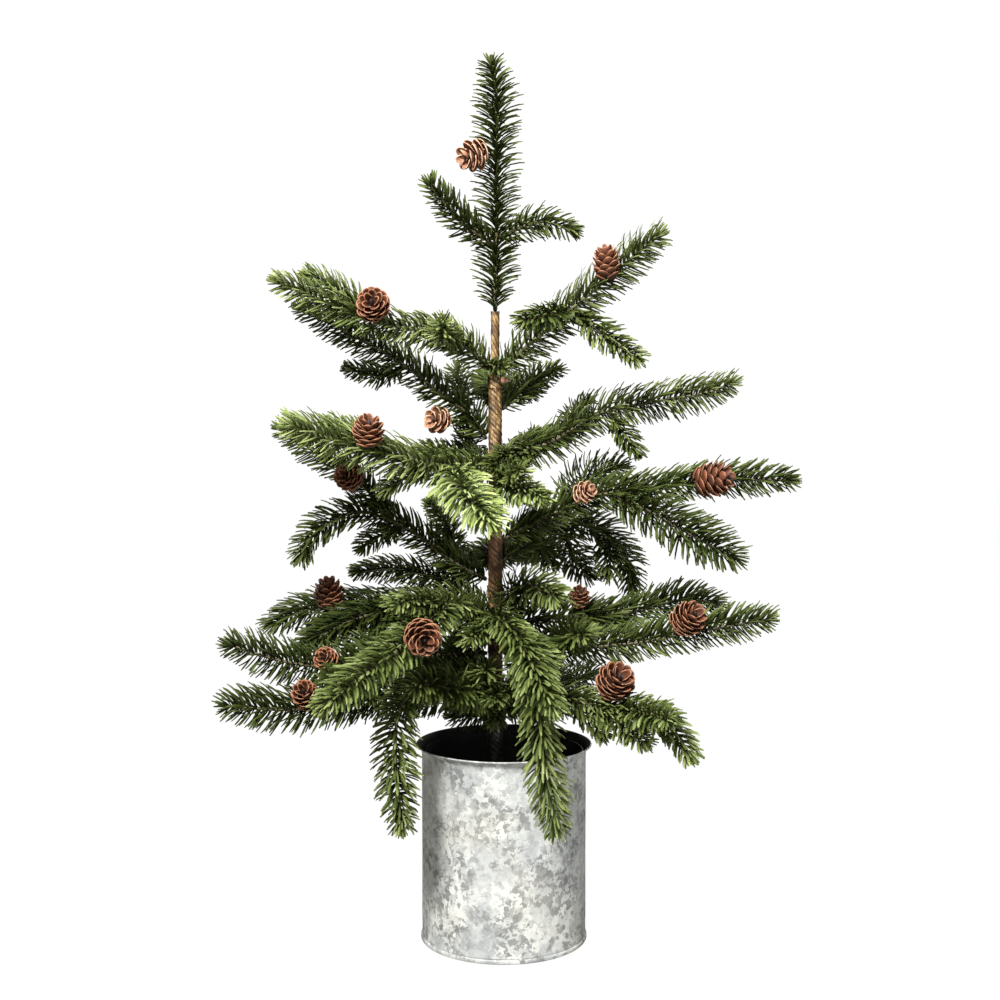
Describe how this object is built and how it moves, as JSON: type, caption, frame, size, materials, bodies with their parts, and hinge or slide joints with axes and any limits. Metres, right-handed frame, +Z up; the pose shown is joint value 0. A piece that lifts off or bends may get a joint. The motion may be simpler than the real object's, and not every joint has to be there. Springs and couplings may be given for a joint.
{
  "type": "artificial tabletop tree",
  "caption": "Artificial tabletop pine with wired, bendable branches and pine cones, standing in a round galvanised pot.",
  "frame": {"origin": "centre of the pot's flat underside, which stands on the table", "axes": "+Z up along the pot's axis, -Y towards the viewer of the tree's front, +X to that viewer's right"},
  "size_m": [0.3955, 0.3015, 0.6104],
  "materials": {
    "galvanised_steel": "matte",
    "liner_plastic": "matte",
    "cement": "matte",
    "core_steel": "matte",
    "paper_tape": "matte",
    "needles": "matte",
    "cone_scales": "matte"
  },
  "bodies": {
    "stand": {"pot_base": "galvanised_steel", "pot_shell": "galvanised_steel", "liner_cup": "liner_plastic", "base_weight": "cement", "trunk_core": "core_steel", "trunk_wrap_base": "paper_tape", "tier_binding_bottom": "paper_tape", "trunk_wrap_low": "paper_tape", "tier_binding_low": "paper_tape", "trunk_wrap_mid": "paper_tape", "tier_binding_mid": "paper_tape", "trunk_wrap_high": "paper_tape", "tier_binding_top": "paper_tape", "trunk_wrap_top": "paper_tape"},
    "bough_leader": {"branch_leader": "needles", "cone_leader": "cone_scales"},
    "bough_upper_left": {"branch_upper_left": "needles", "cone_upper_left": "cone_scales"},
    "bough_upper_right": {"branch_upper_right": "needles", "cone_upper_right": "cone_scales"},
    "bough_upper_back": {"branch_upper_back": "needles"},
    "bough_upper_back_right": {"branch_upper_back_right": "needles"},
    "bough_upper_mid_left": {"branch_upper_mid_left": "needles", "cone_upper_mid_left": "cone_scales"},
    "bough_mid_right": {"branch_mid_right": "needles"},
    "bough_mid_front_left": {"branch_mid_front_left": "needles", "cone_mid_front_left": "cone_scales"},
    "bough_mid_back_left": {"branch_mid_back_left": "needles"},
    "bough_mid_front_right": {"branch_mid_front_right": "needles"},
    "bough_mid_back_right": {"branch_mid_back_right": "needles"},
    "bough_low_mid_right": {"branch_low_mid_right": "needles", "cone_mid_right": "cone_scales", "cone_mid_back": "cone_scales"},
    "bough_low_mid_back_right": {"branch_low_mid_back_right": "needles"},
    "bough_low_mid_left": {"branch_low_mid_left": "needles", "cone_mid_left": "cone_scales"},
    "bough_low_mid_front": {"branch_low_mid_front": "needles"},
    "bough_low_mid_back_left": {"branch_low_mid_back_left": "needles"},
    "bough_low_mid_back": {"branch_low_mid_back": "needles"},
    "bough_low_back_left": {"branch_low_back_left": "needles", "cone_low_back_left": "cone_scales"},
    "bough_low_front_left": {"branch_low_front_left": "needles", "cone_low_front_left": "cone_scales"},
    "bough_low_left": {"branch_low_left": "needles", "cone_low_left": "cone_scales"},
    "bough_low_far_left": {"branch_low_far_left": "needles", "cone_low_far_left": "cone_scales"},
    "bough_droop_left": {"branch_droop_left": "needles"},
    "bough_front": {"branch_front": "needles"},
    "bough_low_right": {"branch_low_right": "needles", "cone_low_right": "cone_scales"},
    "bough_low_back_right": {"branch_low_back_right": "needles", "cone_low_back_right": "cone_scales"},
    "bough_droop_right": {"branch_droop_right": "needles", "cone_droop_right": "cone_scales"},
    "bough_low_front": {"branch_low_front": "needles"},
    "bough_low_back": {"branch_low_back": "needles"},
    "bough_low_back_far_left": {"branch_low_back_far_left": "needles"}
  },
  "joints": [
    {"name": "bend_leader", "type": "hinge", "parent": "stand", "child": "bough_leader", "pos_m": [-0.006, 0, 0.438], "axis": [-1, 0, 0], "range_deg": [-15, 15]},
    {"name": "bend_upper_left", "type": "hinge", "parent": "stand", "child": "bough_upper_left", "pos_m": [-0.01131, -0.00279, 0.397], "axis": [-0.4657, 0.8849, 0], "range_deg": [-20, 20]},
    {"name": "bend_upper_right", "type": "hinge", "parent": "stand", "child": "bough_upper_right", "pos_m": [-0.0004, -0.00215, 0.397], "axis": [-0.359, -0.9333, 0], "range_deg": [-20, 13]},
    {"name": "bend_upper_back", "type": "hinge", "parent": "stand", "child": "bough_upper_back", "pos_m": [-0.00581, 0.0077, 0.376], "axis": [0.9997, -0.025, 0], "range_deg": [-20, 20]},
    {"name": "bend_upper_back_right", "type": "hinge", "parent": "stand", "child": "bough_upper_back_right", "pos_m": [0.0001, 0.0047, 0.37], "axis": [0.6097, -0.7926, 0], "range_deg": [-20, 20]},
    {"name": "bend_upper_mid_left", "type": "hinge", "parent": "stand", "child": "bough_upper_mid_left", "pos_m": [-0.01345, 0.00196, 0.35], "axis": [0.2545, 0.9671, 0], "range_deg": [-20, 15]},
    {"name": "bend_mid_right", "type": "hinge", "parent": "stand", "child": "bough_mid_right", "pos_m": [0.0017, 0, 0.34], "axis": [0, -1, 0], "range_deg": [-7, 20]},
    {"name": "bend_mid_front_left", "type": "hinge", "parent": "stand", "child": "bough_mid_front_left", "pos_m": [-0.01135, -0.00554, 0.325], "axis": [-0.719, 0.695, 0], "range_deg": [-15, 20]},
    {"name": "bend_mid_back_left", "type": "hinge", "parent": "stand", "child": "bough_mid_back_left", "pos_m": [-0.01135, 0.00554, 0.335], "axis": [0.719, 0.695, 0], "range_deg": [-20, 20]},
    {"name": "bend_mid_front_right", "type": "hinge", "parent": "stand", "child": "bough_mid_front_right", "pos_m": [-0.00238, -0.00679, 0.32], "axis": [-0.8824, -0.4706, 0], "range_deg": [-20, 20]},
    {"name": "bend_mid_back_right", "type": "hinge", "parent": "stand", "child": "bough_mid_back_right", "pos_m": [-0.00342, 0.00726, 0.325], "axis": [0.9422, -0.335, 0], "range_deg": [-20, 20]},
    {"name": "bend_low_mid_right", "type": "hinge", "parent": "stand", "child": "bough_low_mid_right", "pos_m": [0.00192, -0.0011, 0.28], "axis": [-0.1376, -0.9905, 0], "range_deg": [-15, 5]},
    {"name": "bend_low_mid_back_right", "type": "hinge", "parent": "stand", "child": "bough_low_mid_back_right", "pos_m": [0.00099, 0.00388, 0.265], "axis": [0.4856, -0.8742, 0], "range_deg": [-11, 20]},
    {"name": "bend_low_mid_left", "type": "hinge", "parent": "stand", "child": "bough_low_mid_left", "pos_m": [-0.014, 0, 0.252], "axis": [0, 1, 0], "range_deg": [-20, 14]},
    {"name": "bend_low_mid_front", "type": "hinge", "parent": "stand", "child": "bough_low_mid_front", "pos_m": [-0.00178, -0.00703, 0.233], "axis": [-0.8575, -0.5145, 0], "range_deg": [-20, 20]},
    {"name": "bend_low_mid_back_left", "type": "hinge", "parent": "stand", "child": "bough_low_mid_back_left", "pos_m": [-0.0133, 0.00374, 0.233], "axis": [0.4563, 0.8898, 0], "range_deg": [-9, 20]},
    {"name": "bend_low_mid_back", "type": "hinge", "parent": "stand", "child": "bough_low_mid_back", "pos_m": [-0.00582, 0.008, 0.265], "axis": [0.9998, -0.0222, 0], "range_deg": [-20, 20]},
    {"name": "bend_low_back_left", "type": "hinge", "parent": "stand", "child": "bough_low_back_left", "pos_m": [-0.01346, 0.00339, 0.215], "axis": [0.4138, 0.9104, 0], "range_deg": [-20, 9]},
    {"name": "bend_low_front_left", "type": "hinge", "parent": "stand", "child": "bough_low_front_left", "pos_m": [-0.01081, -0.00664, 0.225], "axis": [-0.8096, 0.587, 0], "range_deg": [-9, 20]},
    {"name": "bend_low_left", "type": "hinge", "parent": "stand", "child": "bough_low_left", "pos_m": [-0.01376, -0.00265, 0.2], "axis": [-0.3227, 0.9465, 0], "range_deg": [-7, 20]},
    {"name": "bend_low_far_left", "type": "hinge", "parent": "stand", "child": "bough_low_far_left", "pos_m": [-0.01346, -0.00339, 0.175], "axis": [-0.4138, 0.9104, 0], "range_deg": [-20, 7]},
    {"name": "bend_droop_left", "type": "hinge", "parent": "stand", "child": "bough_droop_left", "pos_m": [-0.01137, -0.0062, 0.184], "axis": [-0.7557, 0.6549, 0], "range_deg": [-11, 20]},
    {"name": "bend_front", "type": "hinge", "parent": "stand", "child": "bough_front", "pos_m": [-0.00579, -0.0082, 0.212], "axis": [-0.9997, -0.025, 0], "range_deg": [-17, 20]},
    {"name": "bend_low_right", "type": "hinge", "parent": "stand", "child": "bough_low_right", "pos_m": [0.0018, -0.00254, 0.2], "axis": [-0.31, -0.9507, 0], "range_deg": [-15, 17]},
    {"name": "bend_low_back_right", "type": "hinge", "parent": "stand", "child": "bough_low_back_right", "pos_m": [0.00152, 0.00327, 0.22], "axis": [0.3987, -0.9171, 0], "range_deg": [-20, 11]},
    {"name": "bend_droop_right", "type": "hinge", "parent": "stand", "child": "bough_droop_right", "pos_m": [0.00053, -0.00496, 0.168], "axis": [-0.6055, -0.7958, 0], "range_deg": [-20, 11]},
    {"name": "bend_low_front", "type": "hinge", "parent": "stand", "child": "bough_low_front", "pos_m": [-0.00952, -0.00741, 0.168], "axis": [-0.9033, 0.4291, 0], "range_deg": [-20, 7]},
    {"name": "bend_low_back", "type": "hinge", "parent": "stand", "child": "bough_low_back", "pos_m": [-0.00405, 0.00796, 0.168], "axis": [0.9714, -0.2375, 0], "range_deg": [-13, 20]},
    {"name": "bend_low_back_far_left", "type": "hinge", "parent": "stand", "child": "bough_low_back_far_left", "pos_m": [-0.01022, 0.00703, 0.19], "axis": [0.8575, 0.5145, 0], "range_deg": [-15, 20]}
  ]
}
